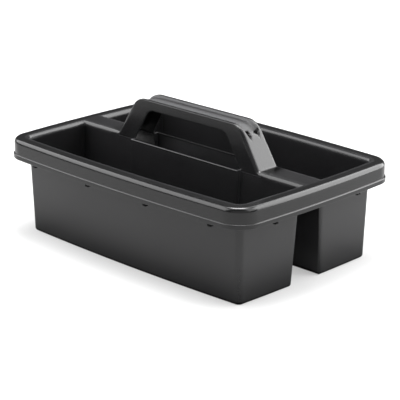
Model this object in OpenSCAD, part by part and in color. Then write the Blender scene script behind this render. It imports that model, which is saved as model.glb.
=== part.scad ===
// Tool storage caddy: two moulded tubs under one shared rim, joined by a raised
// carrying handle. All sizes in millimetres, +Z up, origin on the floor at the
// centre of the footprint, X along the length.

/* [Overall] */
// Length over the bead of the rim
overall_length = 406.4; // [400:1:440]
// Width over the bead of the rim
overall_width = 278.6; // [272:1:310]
// Height of the flat land of the rim
rim_height = 121.6; // [115:0.5:150]
// Height of the top of the handle
handle_height = 170.8; // [168:0.5:200]

/* [Rim] */
// How far the bead at the foot of the skirt stands proud
bead_proud = 1.4; // [0.8:0.1:2.4]
// Height of the bead band
bead_band = 5.9; // [4:0.1:8]
// Drop of the skirt below the land
skirt_drop = 24.4; // [20:0.1:28]
// Corner radius of the skirt
skirt_corner = 29; // [26:0.5:36]
// Radius of the outer shoulder between land and skirt
shoulder_radius = 4.7; // [3.4:0.1:6]
// Width of the flat land
land_width = 10.2; // [8:0.1:12]
// Radius of the mouth edge of each tub
mouth_radius = 4.24; // [3.2:0.02:4.6]
// How far the long sides bow outward
long_bow = 6.85; // [2:0.05:9]
// How far the short sides bow outward
short_bow = 4.94; // [2:0.05:7]

/* [Tubs] */
// Wall thickness
wall = 2.8; // [2.2:0.1:3.1]
// Inset of the tub walls from the mouth down to the floor
wall_draft = 6.7; // [5:0.1:9]
// Inset of the tub walls from the mouth down to the neck under the rim
neck_inset = 3; // [1.5:0.1:4]
// Corner radius of the tubs at the floor
tub_corner = 7; // [6:0.5:10]
// Rounding of the bottom edge
bottom_radius = 3.4; // [3.2:0.1:5.6]

/* [Channel] */
// Half width of the channel between the tubs at the floor
channel_foot = 24; // [22:0.5:28]
// Half width of the channel at the neck
channel_neck = 18.3; // [17:0.1:20]
// Half width of the spine over its two faces, at the top
spine_half = 17.5; // [16:0.1:20]
// Corner radius of the tubs beside the channel
channel_corner = 3; // [2:0.1:4.5]

/* [Handle] */
// Half distance between the leg faces where they meet the deck
leg_foot = 117.65; // [108:0.5:130]
// Lean of the legs from upright, in degrees
leg_lean = 31.96; // [28:0.1:34]
// Radius of the bend from leg to crown
bend_radius = 24; // [20:0.5:28]
// Radius of the blend from leg to deck
foot_blend = 6; // [4:0.5:10]
// Thickness of the handle skin and webs
handle_wall = 3; // [2.4:0.1:3.4]
// Inward lean of each handle face, for each mm of height
face_lean = 0.029; // [0.01:0.001:0.04]
// Depth of the crescent recess at each bend
bend_recess = 5; // [1:0.1:5.5]
// Edge radius along the crown
crown_edge = 0.9; // [0.5:0.1:2]

/* [Finger opening] */
// Half width of the opening at the top of the tub walls
opening_foot = 90; // [80:0.5:94]
// Height of the strip above the opening
grip_strip = 11.8; // [11:0.1:16]
// Radius of the upper corners of the opening
opening_corner = 15; // [8:0.5:18]
// How far each finger bay stands into its tub
bay_depth = 5.5; // [3:0.1:6.5]
// How far the sill of each finger bay stands above the tub wall
sill_rise = 1.24; // [0.4:0.02:2]

/* [Stacking ribs] */
// Thickness of a stacking rib
rib_thickness = 3.6; // [1.8:0.1:4.5]
// How far the ribs reach below the skirt
rib_below = 5.2; // [2:0.1:8]
// Distance from the ribs to the outside of the skirt
rib_setback = 4.2; // [4:0.1:9]
// Distance of the outer ribs of a long side from the middle
long_rib_outer = 148.5; // [130:0.5:160]
// Distance of the inner ribs of a long side from the middle
long_rib_inner = 49; // [30:0.5:90]
// Distance of the ribs of a short side from the middle
short_rib = 71; // [50:0.5:85]

/* [Hidden] */

// Steps along each stretch of the outlines.
slot_steps = 4;
short_steps = 6;
corner_steps = 6;
long_steps = 10;
arc_steps = 5;
bend_steps = 9;

// Skirt outline: half length, half width, the two side curvatures and the corner.
skirt_half_length = overall_length / 2 - bead_proud;
skirt_half_width = overall_width / 2 - bead_proud;
skirt = [
    skirt_half_length,
    skirt_half_width,
    short_bow / pow(skirt_half_width, 2),
    long_bow / pow(skirt_half_length, 2),
    skirt_corner
];

// Heights of the rim, the mouth and the pan that closes each tub.
skirt_foot = rim_height - skirt_drop;
bead_top = skirt_foot + bead_band;
mouth_height = rim_height - mouth_radius;
pan_lip = 3;
pan_height = bottom_radius + pan_lip;
mouth_inset = shoulder_radius + land_width + mouth_radius;
bead_chamfer = 0.5;

// Outer faces of the tub walls at the mouth, the neck and the floor. The bow of the
// sides at the neck and the floor is a share of the bow at the mouth.
neck_bow_short = 0.9;
neck_bow_long = 1.04;
floor_bow_short = 0.62;
floor_bow_long = 0.93;
corner_growth = 1;
mouth_face = inset_by(skirt, mouth_inset - wall);
neck_face = [
    mouth_face[0] - neck_inset,
    mouth_face[1] - neck_inset,
    mouth_face[2] * neck_bow_short,
    mouth_face[3] * neck_bow_long,
    tub_corner + corner_growth
];
floor_face = [
    mouth_face[0] - wall_draft,
    mouth_face[1] - wall_draft,
    mouth_face[2] * floor_bow_short,
    mouth_face[3] * floor_bow_long,
    tub_corner
];
flare_steps = 6;
flare_heights = [for (i = [1 : flare_steps])
    skirt_foot + (mouth_height - skirt_foot) * i / flare_steps];
wall_heights = concat([pan_height, skirt_foot], flare_heights);

// Handle path, seen from the front: deck, blend, leg, bend and crown.
leg_turn = 90 - leg_lean;
blend_start = leg_foot + foot_blend * tan(leg_turn / 2);
bend_corner = leg_foot - (handle_height - rim_height) * tan(leg_lean);
crown_half = bend_corner - bend_radius * tan(leg_turn / 2);
opening_top = handle_height - grip_strip;
opening_shoulder = opening_foot - (opening_top - mouth_height) * tan(leg_lean);
sill_height = mouth_height + sill_rise;
bay_slip = 0.05;

// An outline drawn in by a distance, keeping its curvature.
function inset_by(o, d) = [o[0] - d, o[1] - d, o[2], o[3], max(0.3, o[4] - d)];

// Bowed sides: distance of a short side and of a long side from the middle. A short
// side runs straight across the end of the spine.
function short_x(o, y) = o[0] - o[2] * max(0, y * y - spine_half * spine_half);
function long_y(o, x) = o[1] - o[3] * x * x;

// Centre of the corner arc, found by stepping toward the point where the arc
// is tangent to both bowed sides.
function corner_centre(o, c, n) = n == 0 ? c :
    let (
        short_slope = atan(2 * o[2] * c[1]),
        long_slope = atan(2 * o[3] * c[0]),
        edge_y = c[1] + o[4] * sin(short_slope),
        edge_x = c[0] + o[4] * sin(long_slope)
    )
    corner_centre(o, [
        short_x(o, edge_y) - o[4] * cos(short_slope),
        long_y(o, edge_x) - o[4] * cos(long_slope)
    ], n - 1);

// Short side from height y0 up to the corner, at +X.
function short_points(o, c, y0) =
    let (y1 = c[1] + o[4] * sin(atan(2 * o[2] * c[1])))
    [for (i = [0 : short_steps - 1])
        let (y = y0 + (y1 - y0) * i / short_steps)
        [short_x(o, y), y]];

// Corner arc from the short side round to the long side.
function corner_points(o, c) =
    let (
        start = atan(2 * o[2] * c[1]),
        stop = 90 - atan(2 * o[3] * c[0])
    )
    [for (i = [0 : corner_steps])
        let (t = start + (stop - start) * i / corner_steps)
        [c[0] + o[4] * cos(t), c[1] + o[4] * sin(t)]];

// Long side from the corner to the middle.
function long_points(o, c) =
    let (x1 = c[0] + o[4] * sin(atan(2 * o[3] * c[0])))
    [for (i = [1 : long_steps])
        let (x = x1 * (1 - i / long_steps))
        [x, long_y(o, x)]];

// Quarter of a full outline, from the edge of the spine to the middle of the long side.
function quarter(o, y0) =
    let (c = corner_centre(o, [o[0] - o[4], o[1] - o[4]], 8))
    concat(short_points(o, c, y0), corner_points(o, c), long_points(o, c));

// Half of a tub outline: corner beside the channel, then the quarter outline.
function tub_half(o, side, r) =
    let (end_x = short_x(o, side + r))
    concat(
        [for (i = [0 : slot_steps - 1])
            let (t = -90 + 90 * i / slot_steps)
            [end_x - r + r * cos(t), side + r + r * sin(t)]],
        quarter(o, side + r)
    );

// A path followed by its mirror image across the YZ plane, sharing the last point.
function with_mirror(path) = concat(
    path,
    [for (i = [len(path) - 2 : -1 : 0]) [-path[i][0], path[i][1]]]
);

// A plan path lifted to a height.
function lifted(path, z) = [for (p = path) [p[0], p[1], z]];

// Part of a list, by its first and last index.
function part_of(list, first, last) = [for (i = [first : last]) list[i]];

// Smooth rise from 0 to 1.
function eased(t) = let (u = max(0, min(1, t))) u * u * (3 - 2 * u);

// Straight draft below the neck, then an easy S curve that opens to the mouth.
function neck_share(z) = min(1, z / skirt_foot);
function flare_share(z) = eased((z - skirt_foot) / (mouth_height - skirt_foot));

// Outer face of a tub wall at height z.
function face_at(z) =
    let (lower = floor_face + (neck_face - floor_face) * neck_share(z))
    lower + (mouth_face - lower) * flare_share(z);

// Channel face of a tub at height z.
function channel_at(z) =
    let (lower = channel_foot + (channel_neck - channel_foot) * neck_share(z))
    lower + (spine_half - wall - lower) * flare_share(z);

// Half outline of a tub at height z, inset by d from its outer faces.
function tub_path(z, d) =
    tub_half(inset_by(face_at(z), d), channel_at(z) + d, max(0.3, channel_corner - d));

end_last = slot_steps + short_steps + corner_steps;

// Strip of quads, each split in two triangles, over a grid of points.
function grid_faces(rows, columns) = [
    for (i = [0 : rows - 2], j = [0 : columns - 1])
        let (
            a = i * columns + j,
            b = i * columns + (j + 1) % columns,
            c = a + columns,
            d = b + columns
        )
        each [[a, b, d], [a, d, c]]
];

// End cap of a strip section, joining its outer chain to its inner chain.
function strip_cap(base, count) = [
    for (k = [0 : count / 2 - 2])
        let (a = base + k, b = base + k + 1, c = base + count - 2 - k, d = base + count - 1 - k)
        each [[a, c, b], [a, d, c]]
];

function turned(faces) = [for (f = faces) [f[2], f[1], f[0]]];

// A solid swept through equal sections, each an outer chain and an inner chain.
module swept(sections) {
    count = len(sections[0]);
    rows = len(sections);
    polyhedron(
        points = [for (s = sections) each s],
        faces = concat(
            grid_faces(rows, count),
            strip_cap(0, count),
            turned(strip_cap((rows - 1) * count, count))
        )
    );
}

// A solid through equal rings or sections, closed by a flat face at each end.
module flat_ended(sections) {
    count = len(sections[0]);
    rows = len(sections);
    polyhedron(
        points = [for (s = sections) each s],
        faces = concat(
            grid_faces(rows, count),
            [[for (i = [count - 1 : -1 : 0]) i]],
            [[for (i = [0 : count - 1]) (rows - 1) * count + i]]
        )
    );
}

// Sections of a wall: outer points from the bottom up, inner points back down.
function wall_sections(outer, inner) = [
    for (i = [0 : len(outer[0]) - 1])
        concat(
            [for (k = [0 : len(outer) - 1]) outer[k][i]],
            [for (k = [len(inner) - 1 : -1 : 0]) inner[k][i]]
        )
];

// Floor pan of the rear tub: rounded bottom edge, low wall and flat floor.
module tub_floor() {
    inner_radius = bottom_radius - wall;
    outer_edge = [for (i = [0 : arc_steps])
        let (
            t = 90 * i / arc_steps,
            z = bottom_radius * (1 - cos(t))
        )
        lifted(with_mirror(tub_path(z, bottom_radius * (1 - sin(t)))), z)];
    inner_edge = [for (i = [arc_steps : -1 : 0])
        let (
            t = 90 * i / arc_steps,
            z = wall + inner_radius * (1 - cos(t))
        )
        lifted(with_mirror(tub_path(z, wall + inner_radius * (1 - sin(t)))), z)];
    flat_ended(concat(
        outer_edge,
        [lifted(with_mirror(tub_path(pan_height, 0)), pan_height)],
        [lifted(with_mirror(tub_path(pan_height, wall)), pan_height)],
        inner_edge
    ));
}

// Long outer wall of the rear tub, between its two corners.
module tub_outer_wall() {
    last = end_last + long_steps;
    outer = [for (z = wall_heights)
        lifted(with_mirror(part_of(tub_path(z, 0), end_last, last)), z)];
    inner = [for (z = wall_heights)
        lifted(with_mirror(part_of(tub_path(z, wall), end_last, last)), z)];
    swept(wall_sections(outer, inner));
}

// End wall of the rear tub at +X, with both of its corners.
module tub_end() {
    outer = [for (z = wall_heights) lifted(part_of(tub_path(z, 0), 0, end_last), z)];
    inner = [for (z = wall_heights) lifted(part_of(tub_path(z, wall), 0, end_last), z)];
    swept(wall_sections(outer, inner));
}

// Distance of a finger bay's tub face from the middle at height z.
function bay_at(z) =
    let (
        low = channel_at(pan_height) + wall + bay_slip,
        high = spine_half + bay_depth
    )
    low + (high - low) * (z - pan_height) / (mouth_height - pan_height);

// Channel side of the spine wall at height z, with the jog of the finger bay.
function spine_outer(z, top) =
    let (
        start = tub_path(z, 0)[0],
        inner_x = opening_foot - wall
    )
    [
        [-start[0], start[1], z],
        [-inner_x, start[1], z],
        [-inner_x, bay_at(z) - wall, top],
        [inner_x, bay_at(z) - wall, top],
        [inner_x, start[1], z],
        [start[0], start[1], z]
    ];

// Tub side of the same wall.
function spine_inner(z, top) =
    let (start = tub_path(z, wall)[0])
    [
        [-start[0], start[1], z],
        [-opening_foot, start[1], z],
        [-opening_foot, bay_at(z), top],
        [opening_foot, bay_at(z), top],
        [opening_foot, start[1], z],
        [start[0], start[1], z]
    ];

// Spine wall of the rear tub. The bay rises a little above it as the sill.
module tub_spine_wall() {
    outer = [for (z = wall_heights) spine_outer(z, z == mouth_height ? sill_height : z)];
    inner = [for (z = wall_heights) spine_inner(z, z == mouth_height ? sill_height : z)];
    swept(wall_sections(outer, inner));
}

// Rim section as pairs of inset from the skirt and height: over the top from the
// mouth to the bead, then back along the underside.
rim_section = concat(
    [for (i = [0 : arc_steps])
        let (t = 90 * i / arc_steps)
        [shoulder_radius + land_width + mouth_radius * cos(t), mouth_height + mouth_radius * sin(t)]],
    [for (i = [0 : arc_steps])
        let (t = 90 * i / arc_steps)
        [shoulder_radius * (1 - sin(t)), rim_height - shoulder_radius * (1 - cos(t))]],
    [
        [0, bead_top],
        [bead_chamfer - bead_proud, bead_top],
        [-bead_proud, bead_top - bead_chamfer],
        [-bead_proud, skirt_foot + bead_chamfer],
        [bead_chamfer - bead_proud, skirt_foot],
        [wall, skirt_foot],
        [wall, rim_height - shoulder_radius],
        [shoulder_radius, rim_height - wall],
        [mouth_inset - wall, rim_height - wall],
        [mouth_inset - wall, mouth_height]
    ]
);

// Quarter outline at one point of the rim section.
function rim_path(s) = lifted(quarter(inset_by(skirt, s[0]), spine_half), s[1]);

rim_quarters = [for (s = rim_section) rim_path(s)];
rim_corner_end = short_steps + corner_steps;

// Rim sections between two stations of the quarter outline.
function rim_span(first, last) = [
    for (i = [first : last]) [for (q = rim_quarters) q[i]]
];

function flipped_x(sections) = [
    for (i = [len(sections) - 1 : -1 : 0]) [for (p = sections[i]) [-p[0], p[1], p[2]]]
];

function flipped_y(sections) = [
    for (i = [len(sections) - 1 : -1 : 0]) [for (p = sections[i]) [p[0], -p[1], p[2]]]
];

// Long side of the rim at +Y, between the corners.
module rim_long() {
    half = rim_span(rim_corner_end, rim_corner_end + long_steps);
    flat_ended(concat(half, part_of(flipped_x(half), 1, long_steps)));
}

// Short side of the rim at +X, with both corners.
module rim_short() {
    half = rim_span(0, rim_corner_end);
    flat_ended(concat(flipped_y(half), half));
}

// Half width of the handle at height z.
function handle_half(z) = spine_half - face_lean * max(0, z - rim_height);

// Point and outward direction of the handle path where its surface has turned by t.
function foot_station(t) = [
    [blend_start - foot_blend * sin(t), rim_height + foot_blend * (1 - cos(t))],
    [sin(t), cos(t)]
];

function bend_station(t) = [
    [crown_half + bend_radius * sin(t), handle_height - bend_radius * (1 - cos(t))],
    [sin(t), cos(t)]
];

function mid_station(p, q, s) = [p[0] + (q[0] - p[0]) * s, p[1]];

leg_stations = concat(
    [for (i = [0 : arc_steps]) foot_station(leg_turn * i / arc_steps)],
    [for (s = [0.3, 0.55, 0.7, 0.85]) mid_station(foot_station(leg_turn), bend_station(leg_turn), s)],
    [for (i = [bend_steps : -1 : 0]) bend_station(leg_turn * i / bend_steps)]
);

// Depth of the crescent recess: it grows up the leg, is full at the bend and ends in a
// short step partway round it.
recess_start_share = 0.56;
recess_low = rim_height + (handle_height - rim_height) * recess_start_share;
recess_full = bend_station(leg_turn)[0][1];
recess_end = crown_half + 13;
recess_run = 5;
function recess_at(p) =
    bend_recess
    * eased((p[1] - recess_low) / (recess_full - recess_low))
    * eased((p[0] - recess_end) / recess_run);

// Edge radius: the mouth radius on deck and leg, falling to the crown edge round the bend.
edge_run = 23;
function edge_at(p) =
    crown_edge + (mouth_radius - crown_edge) * eased((p[0] - crown_half) / edge_run);

// Share of the recess at a distance y from the middle.
flange_gap = 0.06;
under_gap = 0.3;
edge_slip = 0.01;
recess_slope = 3.7;
function recess_share(y, half) =
    1 - eased((abs(y) - (half - mouth_radius - recess_slope)) / recess_slope);

recess_rows = [-1, -0.8, -0.6, -0.3, 0, 0.3, 0.6, 0.8, 1];

// Section of the handle skin at a station: rounded edges and a recessed middle above,
// then the underside with its two shoulders on the webs.
function skin_section(station) =
    let (
        p = station[0],
        n = station[1],
        half = handle_half(p[1]),
        r = edge_at(p),
        deep = recess_at(p),
        reach = half - mouth_radius - flange_gap,
        inner = half - handle_wall,
        edge = [for (i = [0 : arc_steps])
            let (t = 90 * i / arc_steps)
            [r * (1 - cos(t)), -r * (1 - sin(t)) * (1 - edge_slip)]],
        rise = [for (i = [1 : arc_steps + 1])
            -mouth_radius + (mouth_radius - handle_wall) * i / (arc_steps + 1)],
        over = concat(
            [[-half, -mouth_radius]],
            [for (q = edge) [q[0] - half, q[1]]],
            [for (f = recess_rows) [f * reach, -deep * recess_share(f * reach, half)]],
            [for (i = [arc_steps : -1 : 0]) [half - edge[i][0], edge[i][1]]],
            [[half, -mouth_radius]]
        ),
        under = concat(
            [[inner, -mouth_radius]],
            [for (h = rise) [inner, h]],
            [for (i = [len(recess_rows) - 1 : -1 : 0])
                let (y = recess_rows[i] * (inner - under_gap))
                [y, -handle_wall - deep * recess_share(y, half)]],
            [for (i = [arc_steps : -1 : 0]) [-inner, rise[i]]],
            [[-inner, -mouth_radius]]
        )
    )
    [for (q = concat(over, under)) [p[0] + n[0] * q[1], q[0], p[1] + n[1] * q[1]]];

// Handle leg at +X, from the deck to the end of the bend.
module handle_leg() {
    swept([for (s = leg_stations) skin_section(s)]);
}

// Top of the handle between the two bends.
module crown() {
    swept([for (s = [1, 0.5, 0, -0.5, -1])
        skin_section([[crown_half * s, handle_height], [0, 1]])]);
}

// Spine deck at +X, from the leg to the mouth edge of the rim, whose curve it covers.
module deck() {
    reach = skirt[0] - mouth_inset;
    start = [for (q = deck_section) [blend_start, q[0], q[1]]];
    stop = [for (q = deck_section) [reach + q[2], q[0], q[1]]];
    swept([stop, start]);
}

// Deck section as Y, Z and how far the end reaches over the mouth curve.
deck_edge = [for (i = [0 : arc_steps])
    let (t = 90 * i / arc_steps, over = mouth_radius * (1 - cos(t)))
    [spine_half - over, mouth_height + mouth_radius * sin(t), over]];
deck_section = concat(
    [for (q = deck_edge) [-q[0], q[1], q[2]]],
    [for (i = [arc_steps : -1 : 0]) deck_edge[i]]
);

// Outline of a handle web: under the skin, down to the tub wall and round the opening.
web_skin_side = [for (s = leg_stations) s[0] - s[1] * mouth_radius];
opening_tangent = opening_corner * tan(leg_turn / 2);
opening_start = opening_corner_point(leg_turn);
side_steps = len(leg_stations) - bend_steps - 1;
function opening_corner_point(t) = [
    opening_shoulder - opening_tangent + opening_corner * sin(t),
    opening_top - opening_corner * (1 - cos(t))
];
opening_side = concat(
    [for (i = [0 : side_steps - 1])
        let (foot = [opening_foot, mouth_height])
        foot + (opening_start - foot) * i / side_steps],
    [for (i = [bend_steps : -1 : 0]) opening_corner_point(leg_turn * i / bend_steps)]
);
web_outline = concat(
    web_skin_side,
    [for (i = [len(web_skin_side) - 1 : -1 : 0]) [-web_skin_side[i][0], web_skin_side[i][1]]],
    [for (p = opening_side) [-p[0], p[1]]],
    [for (i = [len(opening_side) - 1 : -1 : 0]) opening_side[i]]
);

// Web on the +Y side, leaning with the handle face.
module handle_web() {
    outer = [for (p = web_outline) [p[0], handle_half(p[1]), p[1]]];
    inner = [for (p = web_outline) [p[0], handle_half(p[1]) - handle_wall, p[1]]];
    swept([outer, inner]);
}

// Outline of a rib from the wall face out, given the face distance at each height.
rib_foot = skirt_foot - rib_below;
rib_heights = concat([rib_foot, skirt_foot], flare_heights);
rib_nose = 1.6;

// Points of one face of a rib: up the wall, out under the land and down the free edge.
function rib_points(faces, reach) = concat(
    [for (i = [0 : len(rib_heights) - 1]) [faces[i], rib_heights[i]]],
    [
        [faces[len(rib_heights) - 1], rim_height - wall],
        [reach, rim_height - wall],
        [reach, rib_foot + rib_nose],
        [reach - rib_nose, rib_foot]
    ]
);

// Rib on the long side at +Y.
module long_rib(x) {
    reach = long_y(skirt, x) - rib_setback;
    flat_ended([for (side = [1, -1])
        let (station = x + side * rib_thickness / 2)
        [for (p = rib_points([for (z = rib_heights) long_y(face_at(z), station)], reach))
            [station, p[0], p[1]]]]);
}

// Rib on the short side at +X.
module short_rib_at(y) {
    reach = short_x(skirt, y) - rib_setback;
    flat_ended([for (side = [-1, 1])
        let (station = y + side * rib_thickness / 2)
        [for (p = rib_points([for (z = rib_heights) short_x(face_at(z), station)], reach))
            [p[0], station, p[1]]]]);
}

module long_ribs() {
    for (x = [-long_rib_outer, -long_rib_inner, long_rib_inner, long_rib_outer]) long_rib(x);
}

module short_ribs() {
    for (y = [-short_rib, short_rib]) short_rib_at(y);
}

module front_tub_floor() { color("#3c3c3e") mirror([0, 1, 0]) tub_floor(); }
module front_tub_outer_wall() { color("#333335") mirror([0, 1, 0]) tub_outer_wall(); }
module front_tub_left_end() { color("#2f2f31") mirror([0, 1, 0]) mirror([1, 0, 0]) tub_end(); }
module front_tub_right_end() { color("#2f2f31") mirror([0, 1, 0]) tub_end(); }
module front_tub_spine_wall() { color("#373739") mirror([0, 1, 0]) tub_spine_wall(); }
module rear_tub_floor() { color("#3c3c3e") tub_floor(); }
module rear_tub_outer_wall() { color("#333335") tub_outer_wall(); }
module rear_tub_left_end() { color("#2f2f31") mirror([1, 0, 0]) tub_end(); }
module rear_tub_right_end() { color("#2f2f31") tub_end(); }
module rear_tub_spine_wall() { color("#373739") tub_spine_wall(); }
module rim_front() { color("#2c2c2e") mirror([0, 1, 0]) rim_long(); }
module rim_rear() { color("#2c2c2e") rim_long(); }
module rim_left() { color("#29292b") mirror([1, 0, 0]) rim_short(); }
module rim_right() { color("#29292b") rim_short(); }
module deck_left() { color("#303032") mirror([1, 0, 0]) deck(); }
module deck_right() { color("#303032") deck(); }
module handle_left_leg() { color("#343436") mirror([1, 0, 0]) handle_leg(); }
module handle_right_leg() { color("#343436") handle_leg(); }
module handle_crown() { color("#38383a") crown(); }
module handle_front_web() { color("#2e2e30") mirror([0, 1, 0]) handle_web(); }
module handle_rear_web() { color("#2e2e30") handle_web(); }
module stacking_ribs_front() { color("#3f3f41") mirror([0, 1, 0]) long_ribs(); }
module stacking_ribs_rear() { color("#3f3f41") long_ribs(); }
module stacking_ribs_left() { color("#3f3f41") mirror([1, 0, 0]) short_ribs(); }
module stacking_ribs_right() { color("#3f3f41") short_ribs(); }

front_tub_floor();
front_tub_outer_wall();
front_tub_left_end();
front_tub_right_end();
front_tub_spine_wall();
rear_tub_floor();
rear_tub_outer_wall();
rear_tub_left_end();
rear_tub_right_end();
rear_tub_spine_wall();
rim_front();
rim_rear();
rim_left();
rim_right();
deck_left();
deck_right();
handle_left_leg();
handle_right_leg();
handle_crown();
handle_front_web();
handle_rear_web();
stacking_ribs_front();
stacking_ribs_rear();
stacking_ribs_left();
stacking_ribs_right();
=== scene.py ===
import bpy
import numpy as np
from mathutils import Matrix, Vector


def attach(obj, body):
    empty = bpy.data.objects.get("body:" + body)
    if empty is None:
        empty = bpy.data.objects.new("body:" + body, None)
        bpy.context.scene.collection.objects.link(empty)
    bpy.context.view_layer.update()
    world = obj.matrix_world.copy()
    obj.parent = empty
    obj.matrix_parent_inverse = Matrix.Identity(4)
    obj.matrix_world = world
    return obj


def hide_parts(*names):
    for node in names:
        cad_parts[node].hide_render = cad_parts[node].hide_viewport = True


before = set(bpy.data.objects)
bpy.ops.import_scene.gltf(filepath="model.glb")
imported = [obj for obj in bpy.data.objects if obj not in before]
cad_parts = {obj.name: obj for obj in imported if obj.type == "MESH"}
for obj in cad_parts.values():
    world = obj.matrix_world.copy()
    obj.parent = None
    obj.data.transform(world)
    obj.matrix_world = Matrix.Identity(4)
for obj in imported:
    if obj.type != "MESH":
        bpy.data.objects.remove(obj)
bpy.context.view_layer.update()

# Sizes in millimetres that several pieces share, the same named values as the solids.
sizes = {
    "wall": 2.8, "spineHalf": 17.5,          # wall thickness, half width of the spine
    "rimTop": 121.6, "skirtFoot": 97.2,      # heights of the land and of the skirt's lower edge
    "shoulder": 4.7, "land": 10.2,           # widths from the skirt in
    "mouthRadius": 4.24, "mouthDrop": 6.0,   # reach and fall of the mouth curve
    "seamOver": 1.5,                         # strip of land made with the tub
    "legFoot": 117.65, "legLean": 31.96,     # foot of a leg from the middle, lean in degrees
    "footBlend": 5.0, "openingFoot": 90.0,   # blend from leg to deck, half length of the opening
}
mouthTop = sizes["rimTop"] - sizes["mouthRadius"]
mouthInset = sizes["shoulder"] + sizes["land"] + sizes["mouthRadius"]
seamReach = sizes["mouthRadius"] + sizes["seamOver"]
landUnder = sizes["rimTop"] - sizes["wall"]
blendStart = sizes["legFoot"] + sizes["footBlend"] * np.tan(np.radians(90 - sizes["legLean"]) / 2)
spineSeam = blendStart + 2.0

# Outlines are rows of half length, half width, the two side curvatures and the corner radius. The
# skirt's short sides fall back 4.94 mm at their ends and its long sides 6.85 mm.
skirt = np.array([201.8, 137.9, 4.94 / 137.9 ** 2, 6.85 / 201.8 ** 2, 29.0])
outlineSteps = {"short": 22, "corner": 16, "long": 40}


# Smooth rise: three t squared less two t cubed, with t held between 0 and 1.
def eased(t):
    u = np.clip(t, 0.0, 1.0)
    return u * u * (3.0 - 2.0 * u)


# Eased share of a value: none at the first limit, full at the second, held beyond them.
def shareOf(value, none, full):
    return eased((value - none) / (full - none))


# Outline drawn in: both half sizes and the corner radius less the distance.
def insetBy(outline, distance):
    a, b, bendShort, bendLong, corner = outline
    return np.array([a - distance, b - distance, bendShort, bendLong, max(0.3, corner - distance)])


# Short side: half length less curvature times y squared, straight across the spine.
def shortX(outline, y):
    return outline[0] - outline[2] * np.maximum(0.0, y * y - sizes["spineHalf"] ** 2)


# Long side: half width less curvature times x squared.
def longY(outline, x):
    return outline[1] - outline[3] * x ** 2


# Quarter of an outline from y at startY: short side, corner arc tangent to both sides, long side.
# The centre of the arc is found by repeated steps, and a point on each side 0.5 mm from the arc
# keeps the shading of that side flat.
def quarterPath(outline, startY):
    a, b, bendShort, bendLong, r = outline
    cx, cy = a - r, b - r
    for step in range(9):
        leanShort, leanLong = np.arctan(2 * bendShort * cy), np.arctan(2 * bendLong * cx)
        edgeY, edgeX = cy + r * np.sin(leanShort), cx + r * np.sin(leanLong)
        if step < 8:
            cx = shortX(outline, edgeY) - r * np.cos(leanShort)
            cy = longY(outline, edgeX) - r * np.cos(leanLong)
    y = np.append(np.linspace(startY, edgeY, outlineSteps["short"] + 1)[:-1], edgeY - 0.5)
    t = np.linspace(leanShort, np.pi / 2 - leanLong, outlineSteps["corner"] + 1)
    x = np.append(edgeX - 0.5, np.linspace(edgeX, 0.0, outlineSteps["long"] + 1)[1:])
    return np.concatenate([
        np.stack([shortX(outline, y), y], 1),
        np.stack([cx + r * np.cos(t), cy + r * np.sin(t)], 1),
        np.stack([x, longY(outline, x)], 1),
    ])


# Points on an arc: centre plus radius times cosine and sine, from one angle to another in degrees.
def arcPoints(cx, cy, radius, start, stop, steps):
    t = np.radians(np.linspace(start, stop, steps + 1))
    return np.stack([cx + radius * np.cos(t), cy + radius * np.sin(t)], 1)


# Evenly spaced points on a straight line, without its last point.
def linePoints(p, q, steps):
    s = np.linspace(0.0, 1.0, steps + 1)[:-1, None]
    return np.array(p) * (1 - s) + np.array(q) * s


# Angles of a quarter turn in radians, evenly spaced.
def quarterTurn(count):
    return np.radians(np.linspace(0, 90, count))


# Faces of a grid whose columns close on themselves: every cell a quad. The rows close too if asked.
def gridFaces(rows, columns, closedRows=False):
    i, j = np.meshgrid(np.arange(rows if closedRows else rows - 1), np.arange(columns), indexing="ij")
    up, side = (i + 1) % rows, (j + 1) % columns
    cells = np.stack([i * columns + j, i * columns + side, up * columns + side, up * columns + j], -1)
    return cells.reshape(-1, 4).tolist()


# Mesh object from points in millimetres. Faces are turned outward by the sign of the enclosed
# volume, and each vertex keeps how convex it is: the mean of the normal dotted with the step
# from each neighbour over the square of that step, times two millimetres. The other marks are
# shares from 0 to 1 that the plastic reads: foot is painted shade, grip is a matt hand grip, and
# two marks are painted light, one on the tubs' channels and jogs and the crown, one in the
# hollow of the handle.
def makePiece(name, points, faces, marks):
    points = np.asarray(points, float)
    volume = 0.0
    for face in faces:
        corner = points[face]
        volume += np.einsum("i,ki->k", corner[0], np.cross(corner[1:-1], corner[2:])).sum()
    if volume < 0:
        faces = [face[::-1] for face in faces]
    mesh = bpy.data.meshes.new(name)
    mesh.from_pydata((points * 0.001).tolist(), [], faces)
    mesh.validate()
    mesh.polygons.foreach_set("use_smooth", np.ones(len(mesh.polygons), bool))
    mesh.set_sharp_from_angle(angle=np.radians(40.0))
    mesh.update()
    count = len(mesh.vertices)
    normal = np.empty(count * 3)
    mesh.vertex_normals.foreach_get("vector", normal)
    normal = normal.reshape(-1, 3)
    place = np.empty(count * 3)
    mesh.vertices.foreach_get("co", place)
    place = place.reshape(-1, 3)
    edges = np.empty(len(mesh.edges) * 2, int)
    mesh.edges.foreach_get("vertices", edges)
    first, second = edges.reshape(-1, 2).T
    step = place[first] - place[second]
    square = np.maximum((step * step).sum(1), 1e-9)
    total, number = np.zeros(count), np.zeros(count)
    np.add.at(total, first, (normal[first] * step).sum(1) / square)
    np.add.at(total, second, -(normal[second] * step).sum(1) / square)
    np.add.at(number, first, 1)
    np.add.at(number, second, 1)
    convex = np.clip(total / np.maximum(number, 1) * 0.002, 0.0, 1.0)
    for mark, values in {"convex": convex, **marks}.items():
        attribute = mesh.attributes.new(mark, "FLOAT", "POINT")
        attribute.data.foreach_set("value", values.astype(np.float32))
    piece = bpy.data.objects.new(name, mesh)
    bpy.context.scene.collection.objects.link(piece)
    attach(piece, "root")
    return piece


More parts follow.
